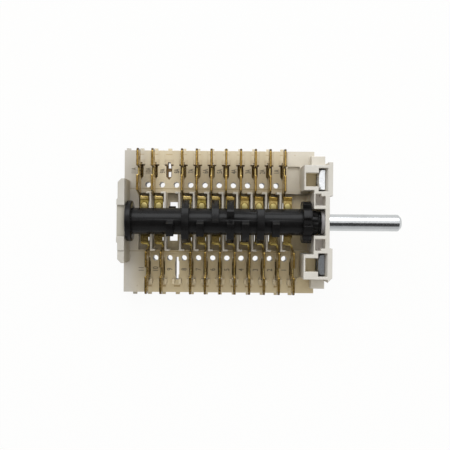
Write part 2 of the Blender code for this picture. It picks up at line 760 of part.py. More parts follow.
def make_housing(finish):
    """The one-piece moulding that holds everything."""
    mesh = mesh_of("housing", [plate(base_outline(), "Z", (0.0, BASE_THICKNESS))])
    housing = piece("housing", mesh, finish)
    rear_wall = plate(rear_wall_outline(), "Z", (SET_IN, WALL_TOP))
    front = plate(front_outline(), "Z", (SET_IN, WALL_TOP))
    join(housing, "end_walls", [rear_wall, front])
    join(housing, "side_blocks", side_blocks())
    join(housing, "feet", feet(1) + feet(-1))
    cut(housing, "chambers", chamber_cuts())
    cut(housing, "star_bay", [star_bay_cut()])
    cut(housing, "channels", channel_cuts())
    join(housing, "ribs", ribs())
    join(housing, "guides_and_pads", guides() + pads())
    bore = BALL_RADIUS + RUNNING_GAP
    boss = rod(along(STAR_MID_X), 0.0, (CHAMBER_FLOOR / 2, BALL_REST_Z), bore + DETENT_BOSS_WALL, "Z",
               ROUND_STEPS // 2)
    join(housing, "detent_boss", [boss])
    well = rod(along(STAR_MID_X), 0.0, (DETENT_FLOOR, 2 * BASE_THICKNESS), bore, "Z", ROUND_STEPS // 2)
    cut(housing, "detent_well", [well])
    cut(housing, "windows", window_cuts())
    cut(housing, "pockets", pocket_cuts())
    cut(housing, "grooves", groove_cuts())
    cut(housing, "slots", slot_cuts())
    cut(housing, "holes", hole_cuts() + corner_recess_cuts())
    bearing, notch, step = rear_wall_cuts()
    spindle_hole = rod((along(FRONT_WALL_X - EDGE_BREAK), along(BOSS_FACE_X)), 0.0, AXIS_HEIGHT,
                       SPINDLE_RADIUS + RUNNING_GAP, "X", ROUND_STEPS // 2)
    cut(housing, "bearings", [bearing, spindle_hole])
    cut(housing, "rear_wall_top", [notch, step])
    slots, screw_pockets, screw_holes = zip(nut_cuts(1), nut_cuts(-1))
    cut(housing, "nut_slots", slots)
    cut(housing, "screw_pockets", screw_pockets)
    cut(housing, "screw_holes", screw_holes)
    cut(housing, "side_pockets", [side_pocket_cut(1), side_pocket_cut(-1)])
    return housing


def lobe_outline(start, end):
    """Section of one cam lobe: sloped flanks and flats between them, in (y, z) about the axis."""
    ramp = LOBE_RAMP_DEGREES / 2
    inner = (BARREL_RADIUS + SPINDLE_RADIUS) / 2
    top = [start + ramp]
    flat = 30 * math.ceil((start + ramp + 6) / 30) - 6
    while flat < end - ramp - 1:
        if flat > start + ramp + 1:
            top.append(flat)
        flat += 30
    top.append(end - ramp)
    polar = [(LOBE_RADIUS, angle) for angle in top]
    foot = BARREL_RADIUS - SET_IN
    polar += [(foot, end + ramp), (inner, end)]
    middle_steps = max(1, round((end - start) / 30))
    for i in range(1, middle_steps):
        polar.append((inner, end + (start - end) * i / middle_steps))
    polar += [(inner, start), (foot, start - ramp)]
    return [(-radius * math.sin(math.radians(angle)), AXIS_HEIGHT + radius * math.cos(math.radians(angle)))
            for radius, angle in polar]


def toothed_outline(tip, root, teeth, tip_share, turn):
    """Section of a wheel with flat-topped teeth, in (y, z) about the drum's axis."""
    pitch = 2 * math.pi / teeth
    points = []
    for tooth in range(teeth):
        middle = turn + tooth * pitch
        edge = pitch * tip_share / 2
        foot = pitch * (1 + tip_share) / 4
        for radius, angle in ((root, middle - foot), (tip, middle - edge), (tip, middle + edge),
                              (root, middle + foot)):
            points.append((radius * math.cos(angle), AXIS_HEIGHT + radius * math.sin(angle)))
    return points


def make_cam_drum(finish):
    """Barrel with rear journal and flange, cam lobes, star wheel, toothed hub and spindle bore."""
    journal_end = FLANGE_X - JOURNAL_LENGTH
    flange_end = FLANGE_X + FLANGE_THICKNESS
    profile = [
        (0.0, HUB_END_X), (HUB_ROOT_RADIUS - EDGE_BREAK, HUB_END_X),
        (HUB_ROOT_RADIUS, HUB_END_X - EDGE_BREAK), (HUB_ROOT_RADIUS, STAR_END_X - EDGE_BREAK),
        (BARREL_RADIUS, STAR_END_X - EDGE_BREAK), (BARREL_RADIUS, flange_end),
        (FLANGE_RADIUS - EDGE_BREAK, flange_end), (FLANGE_RADIUS, flange_end - EDGE_BREAK),
        (FLANGE_RADIUS, FLANGE_X + EDGE_BREAK), (FLANGE_RADIUS - EDGE_BREAK, FLANGE_X),
        (JOURNAL_RADIUS, FLANGE_X), (JOURNAL_RADIUS, journal_end + EDGE_BREAK),
        (JOURNAL_RADIUS - EDGE_BREAK, journal_end), (0.0, journal_end),
    ]
    drum = turned("cam_drum", profile, finish, ROUND_STEPS, (along(0.0), 0.0, AXIS_HEIGHT), True)
    half_tooth = math.pi / STAR_TEETH
    star = plate(toothed_outline(STAR_RADIUS, STAR_ROOT_RADIUS, STAR_TEETH, 0.5, half_tooth),
                 "X", (along(STAR_X), along(STAR_END_X)))
    combine(drum, "UNION", tool("star_wheel", [star]))
    lobes = []
    for number, arcs in LOBE_ARCS.items():
        middle = along(contact_x(number))
        for start, end in arcs:
            lobes.append(plate(lobe_outline(start, end), "X",
                               (middle - LOBE_WIDTH / 2, middle + LOBE_WIDTH / 2)))
    combine(drum, "UNION", tool("cam_lobes", lobes))
    crown = plate(toothed_outline(HUB_RADIUS, HUB_ROOT_RADIUS - EDGE_BREAK, HUB_TEETH, 0.5, 0.0), "X",
                  (along(STAR_END_X - 2 * EDGE_BREAK), along(HUB_END_X - 2 * EDGE_BREAK)))
    combine(drum, "UNION", tool("hub_crown", [crown]))
    bore_end = HUB_END_X - SPINDLE_GRIP - RUNNING_GAP
    bore = rod((along(bore_end), along(HUB_END_X + EDGE_BREAK)), 0.0, AXIS_HEIGHT,
               SPINDLE_RADIUS + FIT_GAP, "X", ROUND_STEPS // 2)
    combine(drum, "DIFFERENCE", tool("spindle_bore", [bore]))
    return drum


def make_spindle(finish):
    """Plated steel shaft with a chamfered end and a flat for the knob on its lower side."""
    start = HUB_END_X - SPINDLE_GRIP
    profile = [
        (0.0, SPINDLE_TIP_X), (SPINDLE_RADIUS - SPINDLE_TIP_CHAMFER, SPINDLE_TIP_X),
        (SPINDLE_RADIUS, SPINDLE_TIP_X - SPINDLE_TIP_CHAMFER),
        (SPINDLE_RADIUS, start + EDGE_BREAK), (SPINDLE_RADIUS - EDGE_BREAK, start), (0.0, start),
    ]
    spindle = turned("spindle", profile, finish, ROUND_STEPS, (along(0.0), 0.0, AXIS_HEIGHT), True)
    flat = AXIS_HEIGHT + SPINDLE_RADIUS - SPINDLE_FLAT_THICKNESS
    below = box((along(SPINDLE_TIP_X - SPINDLE_FLAT_LENGTH), along(SPINDLE_TIP_X + EDGE_BREAK)),
                (-SPINDLE_DIAMETER, SPINDLE_DIAMETER), (flat - SPINDLE_DIAMETER, flat))
    combine(spindle, "DIFFERENCE", tool("knob_flat", [below]))
    return spindle


def tab_profile(leg_inner, leg_outer, inner_end):
    """Side view of a terminal, in (y, z): the tab, the notch behind it, the inner end and the leg."""
    top = TAB_TOP
    point = TAB_POINT
    notch = TAB_TOP - TAB_NOTCH_DEPTH
    notch_outer = TAB_REACH - TAB_NOTCH_INSET
    notch_inner = notch_outer - TAB_NOTCH_LENGTH
    return [
        (TAB_REACH - point, TAB_BOTTOM), (TAB_REACH, TAB_BOTTOM + point), (TAB_REACH, top - point),
        (TAB_REACH - point, top), (notch_outer + EDGE_BREAK, top), (notch_outer, notch),
        (notch_inner, notch), (notch_inner - EDGE_BREAK, top), (TAB_SHOULDER, top), *inner_end,
        (leg_inner, TONGUE_BOTTOM + SET_IN), (leg_inner, LEG_INSET), (leg_outer, LEG_INSET),
        (leg_outer, TAB_BOTTOM),
    ]


def share_out(name, mesh, finish):
    """A copy of a repeated piece in each place that holds a contact."""
    for number in contact_numbers():
        piece(f"{name}_{number:02d}", mesh, finish, (along(contact_x(number)), 0.0, 0.0))


def take_mesh(made):
    """The finished mesh of a pattern piece, which is then removed."""
    mesh = finished_mesh(made)
    bpy.data.objects.remove(made)
    return mesh


def tab_hole(plane, reach):
    """The hole of a blade terminal's tab."""
    thick = (plane - TERMINAL_THICKNESS, plane + TERMINAL_THICKNESS)
    return rod(thick, reach, TAB_TOP - TAB_WIDTH / 2, TAB_HOLE / 2, "X", SMALL_ROUND_STEPS // 2)


def make_fixed_terminals(finish):
    """Upper row: a blade tab on edge, folded at its foot into a flat contact tongue."""
    plane = -ROW_OFFSET
    edges = (plane - TERMINAL_THICKNESS / 2, plane + TERMINAL_THICKNESS / 2)
    fold = TAB_SHOULDER - SHOULDER_RUN
    inner_end = [(fold, TONGUE_TOP - SET_IN), (fold, TONGUE_BOTTOM + SET_IN)]
    upright = plate(tab_profile(UPPER_SLOT_INNER + RUNNING_GAP, UPPER_SLOT_OUTER - RUNNING_GAP,
                                inner_end), "X", edges)
    pattern = piece("fixed_terminal", mesh_of("fixed_terminal", [upright]), finish)
    ear = TERMINAL_THICKNESS / 2
    outline = [
        (plane, TONGUE_REACH + ear), (plane + ear, TONGUE_REACH), (-plane - ear, TONGUE_REACH),
        (-plane, TONGUE_REACH + ear), (-plane, fold - ear), (-plane + ear / 2, fold - ear),
        (-plane + ear / 2, fold), (plane + ear + ear, fold),
        (plane + ear / 2, fold + ear), (plane - ear / 2, fold + ear), (plane - ear / 2, fold - ear),
        (plane, fold - ear),
    ]
    join(pattern, "tongue", [plate(outline, "Z", (TONGUE_BOTTOM, TONGUE_TOP))])
    hole = rod(0.0, RIVET_REACH, (TONGUE_BOTTOM - EDGE_BREAK, TONGUE_TOP + EDGE_BREAK),
               RIVET_SHANK_RADIUS + FIT_GAP, "Z", RIVET_STEPS)
    tab = tab_hole(plane, TAB_REACH - TAB_HOLE_INSET)
    cut(pattern, "tongue_holes", [hole, tab])
    share_out("fixed_terminal", take_mesh(pattern), finish)


def make_spring_terminals(finish):
    """Lower row: a blade tab on edge, turned in at its root, with a ledge for the contact spring."""
    plane = ROW_OFFSET
    edges = (plane - TERMINAL_THICKNESS / 2, plane + TERMINAL_THICKNESS / 2)
    fold = TAB_SHOULDER - SHOULDER_RUN
    inner_end = [(fold, TONGUE_TOP), (fold, TONGUE_BOTTOM + SET_IN)]
    profile = [(-y, z) for y, z in tab_profile(LOWER_SLOT_INNER + RUNNING_GAP,
                                               LOWER_SLOT_OUTER - RUNNING_GAP, inner_end)]
    pattern = piece("spring_terminal", mesh_of("spring_terminal", [plate(profile, "X", edges)]), finish)
    bend = arc((plane - HOOK_RADIUS, -HOOK_REACH - HOOK_RADIUS), HOOK_RADIUS, 0, 90, 5)
    root = [(plane, -fold - TERMINAL_THICKNESS / 2)]
    path = root + bend + [(plane - HOOK_RADIUS - HOOK_LENGTH, -HOOK_REACH)]
    ledge_bottom = LEDGE_TOP - LEDGE_THICKNESS
    hook = plate(band(path, TERMINAL_THICKNESS - SET_IN), "Z", (ledge_bottom + SET_IN, TONGUE_TOP - FIT_GAP))
    join(pattern, "hook", [hook])
    ledge = box((-BLADE_WIDTH / 2, BLADE_WIDTH / 2), (-HOOK_REACH - FIT_GAP, -HOOK_REACH + LEDGE_LENGTH),
                (ledge_bottom, LEDGE_TOP))
    join(pattern, "ledge", [ledge])
    cut(pattern, "lower_tab_hole", [tab_hole(plane, TAB_HOLE_INSET - TAB_REACH)])
    share_out("spring_terminal", take_mesh(pattern), finish)


def make_spring_blades(finish):
    """Thin contact springs: root on the ledge, hump under the cam, tip under the fixed rivet."""
    half = BLADE_THICKNESS / 2
    root = BLADE_ROOT_TOP - half
    tip = BLADE_TIP_TOP - half
    hump = BLADE_TOP - half
    start = -HOOK_REACH + TERMINAL_THICKNESS / 2 + FIT_GAP
    path = [
        (start, root), (-HOOK_REACH + LEDGE_LENGTH + TERMINAL_THICKNESS, root),
        (-BLADE_HUMP_HALF_LENGTH, hump), (BLADE_HUMP_HALF_LENGTH, hump),
        (RIVET_REACH - BLADE_TIP_OVERHANG, tip), (RIVET_REACH + BLADE_TIP_OVERHANG, tip),
    ]
    strip = plate(band(path, BLADE_THICKNESS), "X", (-BLADE_WIDTH / 2, BLADE_WIDTH / 2))
    pattern = piece("spring_blade", mesh_of("spring_blade", [strip]), finish)
    hole = rod(0.0, RIVET_REACH, (tip - EDGE_BREAK, tip + EDGE_BREAK), RIVET_SHANK_RADIUS + FIT_GAP, "Z",
               RIVET_STEPS)
    cut(pattern, "blade_hole", [hole])
    share_out("spring_blade", take_mesh(pattern), finish)


def rivet_profile(seat_low, seat_high):
    """Profile of a rivet with a head above and below the sheet that it holds."""
    top = seat_high + FIT_GAP
    bottom = seat_low - FIT_GAP
    break_edge = RIVET_HEAD_HEIGHT / 3
    return [
        (0.0, top + RIVET_HEAD_HEIGHT), (RIVET_HEAD_RADIUS - break_edge, top + RIVET_HEAD_HEIGHT),
        (RIVET_HEAD_RADIUS, top + RIVET_HEAD_HEIGHT - break_edge), (RIVET_HEAD_RADIUS, top),
        (RIVET_SHANK_RADIUS, top), (RIVET_SHANK_RADIUS, bottom), (RIVET_HEAD_RADIUS, bottom),
        (RIVET_HEAD_RADIUS - break_edge, bottom - RIVET_HEAD_HEIGHT), (0.0, bottom - RIVET_HEAD_HEIGHT),
    ]


def make_rivets(finish):
    """Contact rivets of the fixed tongues and of the spring blades."""
    rows = {"fixed_rivet": (TONGUE_BOTTOM, TONGUE_TOP),
            "moving_rivet": (BLADE_TIP_TOP - BLADE_THICKNESS, BLADE_TIP_TOP)}
    for name, (low, high) in rows.items():
        pattern = turned(name, rivet_profile(low, high), finish, RIVET_STEPS, (0.0, RIVET_REACH, 0.0))
        mesh = take_mesh(pattern)
        for number in contact_numbers():
            piece(f"{name}_{number:02d}", mesh, finish, (along(contact_x(number)), RIVET_REACH, 0.0))


def make_nut(name, side, finish):
    """Square nut: its rear corners are turned off to a shallow dome, as such nuts are."""
    front = along(FRONT_WALL_X) + EDGE_BREAK / 3 - FIT_GAP
    rear = front - NUT_THICKNESS
    middle = side * NUT_REACH
    half = NUT_SIZE / 2
    mesh = mesh_of(name, [box((rear, front), (middle - half, middle + half),
                              (AXIS_HEIGHT - half, AXIS_HEIGHT + half))])
    nut = piece(name, mesh, finish)
    dome = bmesh.new()
    bmesh.ops.create_cone(dome, cap_ends=True, segments=ROUND_STEPS // 2, radius1=half,
                          radius2=NUT_CORNER_RADIUS + NUT_THICKNESS, depth=NUT_THICKNESS + EDGE_BREAK)
    turn = Matrix.Rotation(math.pi / 2, 4, "Y")
    centre = Matrix.Translation(((rear + front) / 2, middle, AXIS_HEIGHT))
    bmesh.ops.transform(dome, matrix=centre @ turn, verts=dome.verts)
    combine(nut, "INTERSECT", tool(name + "_dome", [dome]))
    hole = rod((rear - EDGE_BREAK, front + EDGE_BREAK), middle, AXIS_HEIGHT, NUT_BORE / 2, "X")
    combine(nut, "DIFFERENCE", tool(name + "_bore", [hole]))
    return nut


def make_detent(finish_ball, finish_spring):
    """Ball under the star wheel, pressed down clear of the teeth, and the spring below it."""
    ball_mesh = bmesh.new()
    bmesh.ops.create_uvsphere(ball_mesh, u_segments=SMALL_ROUND_STEPS, v_segments=SMALL_ROUND_STEPS // 2,
                              radius=BALL_RADIUS)
    mesh = bpy.data.meshes.new("detent_ball")
    ball_mesh.to_mesh(mesh)
    ball_mesh.free()
    mesh.shade_smooth()
    piece("detent_ball", mesh, finish_ball, (along(STAR_MID_X), 0.0, BALL_REST_Z))
    wire = DETENT_WIRE / 2
    bottom = DETENT_FLOOR + RUNNING_GAP + wire
    drop = math.sqrt(BALL_RADIUS ** 2 - (DETENT_COIL_RADIUS + wire) ** 2)
    top = BALL_REST_Z - drop - RUNNING_GAP - DETENT_WIRE
    curve = bpy.data.curves.new("detent_spring", "CURVE")
    curve.dimensions = "3D"
    curve.bevel_depth = wire
    curve.bevel_resolution = 2
    curve.use_fill_caps = True
    spline = curve.splines.new("POLY")
    turns = int((top - bottom) / DETENT_PITCH)
    count = 10 * turns
    spline.points.add(count)
    for i, point in enumerate(spline.points):
        angle = 2 * math.pi * turns * i / count
        height = bottom + (top - bottom) * i / count
        point.co = (DETENT_COIL_RADIUS * math.cos(angle), DETENT_COIL_RADIUS * math.sin(angle), height, 1.0)
    spring = bpy.data.objects.new("detent_spring", curve)
    curve.materials.append(finish_spring)
    spring.location = (along(STAR_MID_X), 0.0, 0.0)
    PIECES.objects.link(spring)


def build():
    """All pieces, each with its own finish."""
    cream = material("cream_moulding", (0.71, 0.64, 0.50), 0.45)
    black = material("black_moulding", (0.018, 0.018, 0.020), 0.32)
    plated = material("zinc_plate", (0.72, 0.73, 0.75), 0.30, 1.0)
    brass = material("brass_sheet", (0.62, 0.47, 0.16), 0.30, 1.0)
    spring_brass = material("spring_brass", (0.66, 0.50, 0.18), 0.28, 1.0)
    contact = material("contact_metal", (0.74, 0.64, 0.34), 0.35, 1.0)
    nut_steel = material("nut_steel", (0.66, 0.68, 0.72), 0.35, 1.0)
    ball_steel = material("ball_steel", (0.60, 0.61, 0.63), 0.15, 1.0)
    spring_steel = material("spring_steel", (0.45, 0.45, 0.47), 0.35, 1.0)
    make_housing(cream)
    make_cam_drum(black)
    make_spindle(plated)
    make_fixed_terminals(brass)
    make_spring_terminals(brass)
    make_spring_blades(spring_brass)
    make_rivets(contact)
    make_nut("nut_upper", 1, nut_steel)
    make_nut("nut_lower", -1, nut_steel)
    make_detent(ball_steel, spring_steel)


build()
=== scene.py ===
"""Looks of the open rotary cam switch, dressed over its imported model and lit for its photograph."""
import math

import bmesh
import bpy
from mathutils import Matrix, Vector


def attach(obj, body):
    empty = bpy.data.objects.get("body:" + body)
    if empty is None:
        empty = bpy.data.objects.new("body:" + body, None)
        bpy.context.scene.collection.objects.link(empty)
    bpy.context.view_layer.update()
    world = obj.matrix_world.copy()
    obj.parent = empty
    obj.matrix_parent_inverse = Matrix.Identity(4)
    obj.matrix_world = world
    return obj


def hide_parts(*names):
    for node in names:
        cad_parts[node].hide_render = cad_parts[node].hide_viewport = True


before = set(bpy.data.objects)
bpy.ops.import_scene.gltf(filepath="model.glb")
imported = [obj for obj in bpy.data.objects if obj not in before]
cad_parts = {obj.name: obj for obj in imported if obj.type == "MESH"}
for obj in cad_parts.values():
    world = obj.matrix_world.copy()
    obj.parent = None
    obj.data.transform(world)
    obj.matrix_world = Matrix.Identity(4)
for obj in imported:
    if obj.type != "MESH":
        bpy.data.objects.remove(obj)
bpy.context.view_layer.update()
scene = bpy.context.scene
scene.view_settings.view_transform = "Standard"

# Camera
# It hangs a quarter of a metre over the switch and looks straight down, turned by half a degree as
# in the photograph.
CAMERA_PLACE = (-0.01225, -0.0012, 0.2507)
CAMERA_ROLL = math.radians(0.5)
LENS = 52.7
SENSOR_WIDTH = 36.0
NEAREST_SEEN = 0.01

camera = bpy.data.objects.new("overhead_camera", bpy.data.cameras.new("overhead_camera"))
camera.data.lens = LENS
camera.data.sensor_width = SENSOR_WIDTH
camera.data.clip_start = NEAREST_SEEN
camera.location = CAMERA_PLACE
camera.rotation_euler = (0.0, 0.0, CAMERA_ROLL)
scene.collection.objects.link(camera)
scene.camera = camera

# Lamps
# A large soft lamp, like a window beyond the upper row of terminals, and a weaker one on the near
# side that lightens the shadows. The metal doesn't mirror the weaker one.
LAMP_AIM = Vector((-0.01, 0.0, 0.0))


def soft_lamp(name, place, size, power, tint):
    """A rectangular area lamp that faces the switch, with its width and height as its size."""
    lamp = bpy.data.lights.new(name, "AREA")
    lamp.shape = "RECTANGLE"
    lamp.size, lamp.size_y = size
    lamp.energy = power
    lamp.color = tint
    holder = bpy.data.objects.new(name, lamp)
    holder.location = place
    holder.rotation_euler = (LAMP_AIM - Vector(place)).to_track_quat("-Z", "Y").to_euler()
    scene.collection.objects.link(holder)
    return holder


soft_lamp("window_lamp", (-0.02, 0.46, 0.40), size=(0.60, 0.36), power=2.25, tint=(0.94, 0.97, 1.0))
fill_lamp = soft_lamp("fill_lamp", (0.04, -0.28, 0.50), size=(0.50, 0.30), power=0.90,
                      tint=(1.0, 0.98, 0.94))
fill_lamp.visible_glossy = False

# Room
# What stands round the table, as the metal mirrors it: white from overhead to the far horizon, a
# dark ceiling on the near side of the camera, and a pale wall below that.
ROOM_BLUE = 1.01
ROOM_SLANT = 0.20
# Each stop is an angle from overhead towards +Y, in degrees, and a level. The slant shifts all the
# angles with the direction's x.
ROOM_STOPS = [(-90, 0.74), (-54, 0.70), (-45, 0.22), (-40, 0.06),
              (-1, 0.05), (3, 1.15), (84, 1.1), (90, 1.0)]


def arithmetic(tree, operation, *terms):
    """One step of arithmetic on sockets and plain numbers."""
    step = tree.nodes.new("ShaderNodeMath")
    step.operation = operation
    for socket, term in zip(step.inputs, terms):
        if isinstance(term, float):
            socket.default_value = term
        else:
            tree.links.new(term, socket)
    return step.outputs["Value"]


def spread(tree, value, start, end, low=0.0, high=1.0):
    """A value carried over from one range to another, and held at the ends of that."""
    carried = tree.nodes.new("ShaderNodeMapRange")
    for label, level in (("From Min", start), ("From Max", end), ("To Min", low), ("To Max", high)):
        carried.inputs[label].default_value = level
    tree.links.new(value, carried.inputs["Value"])
    return carried.outputs["Result"]


room = bpy.data.worlds.new("pale_room")
room.use_nodes = True
scene.world = room
tree = room.node_tree
tree.nodes.clear()
direction = tree.nodes.new("ShaderNodeTexCoord")
split = tree.nodes.new("ShaderNodeSeparateXYZ")
tree.links.new(direction.outputs["Generated"], split.inputs["Vector"])
tilt = arithmetic(tree, "ARCTAN2", split.outputs["Y"], split.outputs["Z"])
slanted = arithmetic(tree, "MULTIPLY_ADD", split.outputs["X"], ROOM_SLANT, tilt)
ramp = tree.nodes.new("ShaderNodeValToRGB")
for _ in ROOM_STOPS[2:]:
    ramp.color_ramp.elements.new(0.5)
for stop, (degrees, level) in zip(ramp.color_ramp.elements, ROOM_STOPS):
    stop.position = (degrees + 90) / 180
    stop.color = (level, level, level * ROOM_BLUE, 1.0)
tree.links.new(spread(tree, slanted, -math.pi / 2, math.pi / 2), ramp.inputs["Fac"])
surroundings = tree.nodes.new("ShaderNodeBackground")
tree.links.new(ramp.outputs["Color"], surroundings.inputs["Color"])
outlet = tree.nodes.new("ShaderNodeOutputWorld")
tree.links.new(surroundings.outputs["Background"], outlet.inputs["Surface"])

# Table
# Plain pale card under the switch. The camera, metal and glass see most of it as white, and the
# rest stays card, which keeps the switch's shadow.
TABLE_HALF = 1.5
TABLE_DROP = 0.0001
CARD = (0.72, 0.72, 0.71)
CARD_WHITE = (1.0, 1.0, 0.995)
WHITE_SHARE = 0.93

table_top = bmesh.new()
bmesh.ops.create_grid(table_top, x_segments=1, y_segments=1, size=TABLE_HALF)
table_mesh = bpy.data.meshes.new("table")
table_top.to_mesh(table_mesh)
table_top.free()
table = bpy.data.objects.new("table", table_mesh)
scene.collection.objects.link(table)
table.location.z = -TABLE_DROP
white = bpy.data.materials.new("white_table")
white.use_nodes = True
tree = white.node_tree
tree.nodes.clear()
path = tree.nodes.new("ShaderNodeLightPath")
mirrored = arithmetic(tree, "ADD", path.outputs["Is Glossy Ray"], path.outputs["Is Transmission Ray"])
seen = arithmetic(tree, "ADD", path.outputs["Is Camera Ray"], mirrored)
card = tree.nodes.new("ShaderNodeBsdfDiffuse")
card.inputs["Color"].default_value = (*CARD, 1.0)
glow = tree.nodes.new("ShaderNodeEmission")
glow.inputs["Color"].default_value = (*CARD_WHITE, 1.0)
blend = tree.nodes.new("ShaderNodeMixShader")
tree.links.new(arithmetic(tree, "MULTIPLY", seen, WHITE_SHARE), blend.inputs["Fac"])
tree.links.new(card.outputs["BSDF"], blend.inputs[1])
tree.links.new(glow.outputs["Emission"], blend.inputs[2])
outlet = tree.nodes.new("ShaderNodeOutputMaterial")
tree.links.new(blend.outputs["Shader"], outlet.inputs["Surface"])
table_mesh.materials.append(white)

# Housing
# One cream moulding of glass-filled polyester that carries every other piece. It is dull, slightly
# mottled by the flow of the melt, and its edges are a little rounded by the mould.
CREAM_LIGHT = (0.640, 0.604, 0.532)
CREAM_DARK = (0.590, 0.548, 0.468)
MOULD_EDGE = 0.00016
BASE_TOP = 0.0057
NOISE_RANGE = (0.3, 0.7)
ROUGHNESS_SPREAD = 0.07
RELIEF_HEIGHT = 0.00004


def make_grain_group():
    """Surface grain: a slow mottle, a fine grain, and both summed as a height."""
    group = bpy.data.node_groups.new("surface_grain", "ShaderNodeTree")
    for label, side, kind in (("Vector", "INPUT", "NodeSocketVector"),
                              ("Mottle Scale", "INPUT", "NodeSocketFloat"),
                              ("Grain Scale", "INPUT", "NodeSocketFloat"),
                              ("Mottle", "OUTPUT", "NodeSocketFloat"),
                              ("Grain", "OUTPUT", "NodeSocketFloat"),
                              ("Height", "OUTPUT", "NodeSocketFloat")):
        group.interface.new_socket(label, in_out=side, socket_type=kind)
    inlet = group.nodes.new("NodeGroupInput")
    outlet = group.nodes.new("NodeGroupOutput")
    layers = []
    for label, detail, roughness in (("Mottle", 4.0, 0.6), ("Grain", 3.0, 0.55)):
        noise = group.nodes.new("ShaderNodeTexNoise")
        noise.inputs["Detail"].default_value = detail
        noise.inputs["Roughness"].default_value = roughness
        group.links.new(inlet.outputs["Vector"], noise.inputs["Vector"])
        group.links.new(inlet.outputs[f"{label} Scale"], noise.inputs["Scale"])
        group.links.new(noise.outputs["Fac"], outlet.inputs[label])
        layers.append(noise.outputs["Fac"])
    group.links.new(arithmetic(group, "ADD", *layers), outlet.inputs["Height"])
    return group


GRAIN = make_grain_group()


def grained_material(name, light, dark, roughness, mottle_scale, grain_scale, bump, metallic=0.0):
    """A finish with two tones, a roughness that varies with the grain, and a slight bump."""
    made = bpy.data.materials.new(name)
    made.use_nodes = True
    tree = made.node_tree
    shader = tree.nodes["Principled BSDF"]
    shader.inputs["Metallic"].default_value = metallic
    places = tree.nodes.new("ShaderNodeTexCoord")
    grain = tree.nodes.new("ShaderNodeGroup")
    grain.node_tree = GRAIN
    grain.inputs["Mottle Scale"].default_value = mottle_scale
    grain.inputs["Grain Scale"].default_value = grain_scale
    tree.links.new(places.outputs["Object"], grain.inputs["Vector"])
    tone = tree.nodes.new("ShaderNodeMix")
    tone.data_type = "RGBA"
    tone.inputs["A"].default_value = (*dark, 1.0)
    tone.inputs["B"].default_value = (*light, 1.0)
    tree.links.new(spread(tree, grain.outputs["Mottle"], *NOISE_RANGE), tone.inputs["Factor"])
    tree.links.new(tone.outputs["Result"], shader.inputs["Base Color"])
    varied = spread(tree, grain.outputs["Grain"], *NOISE_RANGE, low=roughness - ROUGHNESS_SPREAD,
                    high=roughness + ROUGHNESS_SPREAD)
    tree.links.new(varied, shader.inputs["Roughness"])
    relief = tree.nodes.new("ShaderNodeBump")
    relief.inputs["Strength"].default_value = bump
    relief.inputs["Distance"].default_value = RELIEF_HEIGHT
    tree.links.new(grain.outputs["Height"], relief.inputs["Height"])
    tree.links.new(relief.outputs["Normal"], shader.inputs["Normal"])
    return made


def levels_of(tree):
    """What a painted tint can follow: x, y, z, the reach out from the middle line, and where a face
    looks.
    """
    places = tree.nodes.new("ShaderNodeTexCoord")
    along = tree.nodes.new("ShaderNodeSeparateXYZ")
    facing = tree.nodes.new("ShaderNodeSeparateXYZ")
    tree.links.new(places.outputs["Object"], along.inputs["Vector"])
    tree.links.new(places.outputs["Normal"], facing.inputs["Vector"])
    return {"x": along.outputs["X"], "y": along.outputs["Y"], "z": along.outputs["Z"],
            "out": arithmetic(tree, "ABSOLUTE", along.outputs["Y"]), "up": facing.outputs["Z"],
            "sideways": arithmetic(tree, "ABSOLUTE", facing.outputs["X"])}


def mask_within(tree, levels, bounds):
    """A mask that is 1 where a point is past all bounds, each a level's name, start and full value."""
    parts = [spread(tree, levels[name], start, full) for name, start, full in bounds]
    whole = parts[0]
    for part in parts[1:]:
        whole = arithmetic(tree, "MULTIPLY", whole, part)
    return whole


def paint_tint(finish, levels, bounds, colour):
    """Multiply a finish's colour by a tint within bounds, which paints shade or light there, and return
    the mask that it follows.
    """
    tree = finish.node_tree
    base = tree.nodes["Principled BSDF"].inputs["Base Color"]
    mask = mask_within(tree, levels, bounds)
    tint = tree.nodes.new("ShaderNodeMix")
    tint.data_type = "RGBA"
    tint.blend_type = "MULTIPLY"
    tint.inputs["B"].default_value = (*colour, 1.0)
    tree.links.new(base.links[0].from_socket, tint.inputs["A"])
    tree.links.new(mask, tint.inputs["Factor"])
    tree.links.new(tint.outputs["Result"], base)
    return mask


# Doubles within MERGED are one point, and faces that meet within FLAT are one face. An edge takes a
# bevel if it is longer than LONG, and its faces broader than BROAD, in widths of the bevel.
MERGED = 0.000002
FLAT = math.radians(0.6)
LONG = 0.8
BROAD = 2.2


